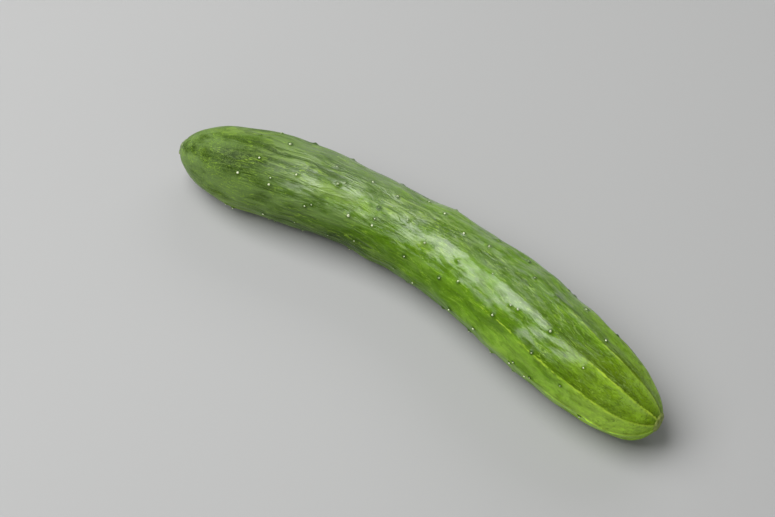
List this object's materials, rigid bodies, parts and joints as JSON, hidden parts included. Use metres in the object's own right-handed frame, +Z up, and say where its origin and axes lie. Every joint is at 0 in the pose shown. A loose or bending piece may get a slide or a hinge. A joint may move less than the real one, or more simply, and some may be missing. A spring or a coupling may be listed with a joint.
{
  "type": "japanese cucumber",
  "caption": "Slim curved green cucumber with shallow ribs, small spiny warts, a cut stem and a blossom scar, lying on its side.",
  "frame": {"origin": "on the ground, under the middle of the fruit's bounding box as it lies", "axes": "+X from the stem end to the blossom end, +Y towards the outer side of the bend, +Z up from the ground it lies on"},
  "size_m": [0.2077, 0.0446, 0.0344],
  "materials": {
    "skin": "satin",
    "spine": "satin",
    "stem_cut": "matte",
    "blossom_scar": "matte"
  },
  "bodies": {
    "root": {"cucumber": "skin"}
  },
  "joints": []
}
